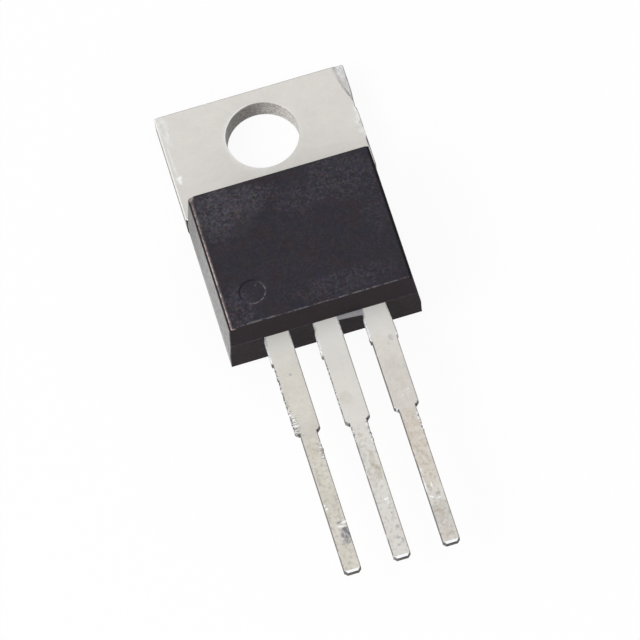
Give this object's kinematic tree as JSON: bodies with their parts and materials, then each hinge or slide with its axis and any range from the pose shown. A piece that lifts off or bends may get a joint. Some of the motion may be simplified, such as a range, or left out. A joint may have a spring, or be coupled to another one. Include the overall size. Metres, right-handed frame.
{
  "type": "voltage regulator",
  "caption": "Fixed linear voltage regulator: moulded flange-mount package with a metal tab, a mounting hole and a row of solder leads.",
  "frame": {"origin": "on the mounting hole's axis, in the plane of the back that lies on a heat sink", "axes": "+Y from the leads towards the tab's free end, +Z from the back to the front face, +X to the output lead's side"},
  "size_m": [0.0102, 0.0284, 0.0045],
  "materials": {
    "moulding": "fine-grained moulded epoxy, dark slate grey",
    "tab": "satin matte tin plating on copper, scuffed at the edges",
    "leads": "satin tin plating on copper, with warm stains",
    "solder": "dull soft solder",
    "silicon": "polished silicon",
    "wire": "drawn aluminium wire"
  },
  "bodies": {
    "root": {"body_moulding": "moulding", "heat_tab": "tab", "input_lead": "leads", "output_lead": "leads", "die_solder": "solder", "regulator_die": "silicon", "input_wire": "wire", "common_wire": "wire", "output_wire": "wire"}
  },
  "joints": []
}
